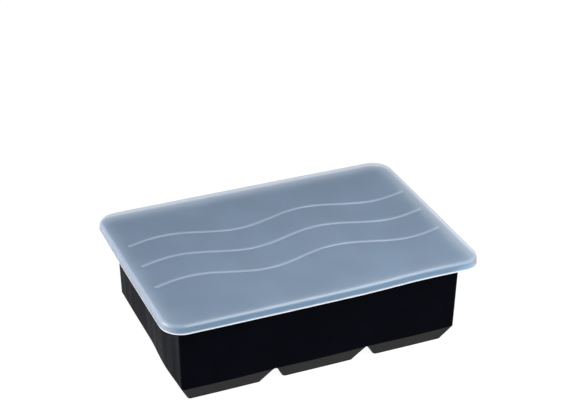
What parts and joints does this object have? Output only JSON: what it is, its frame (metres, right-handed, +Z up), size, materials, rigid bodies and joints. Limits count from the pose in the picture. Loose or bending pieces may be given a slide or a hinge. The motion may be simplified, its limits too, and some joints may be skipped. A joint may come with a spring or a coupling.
{
  "type": "silicone soap mould with lid",
  "caption": "Rectangular flexible tray of square cavities with bevelled feet and a flat rim, under a translucent push-on lid with wavy ribs.",
  "frame": {"origin": "middle of the footprint, on the plane of the flat feet", "axes": "+X along the long side, +Y along the short side, +Z up, the way the lid lifts"},
  "size_m": [0.1812, 0.1268, 0.058],
  "materials": {
    "black_silicone": "satin moulded silicone, black, slightly dusty on the bevels",
    "frosted_lid": "thin frosted translucent moulding with a soft sheen"
  },
  "bodies": {
    "mould": {"mould_tray": "black_silicone"},
    "lid": {"lid": "frosted_lid"}
  },
  "joints": [
    {"name": "lid_lift", "type": "slide", "parent": "mould", "child": "lid", "axis": [0, 0, 1], "range_m": [0, 0.08]}
  ]
}
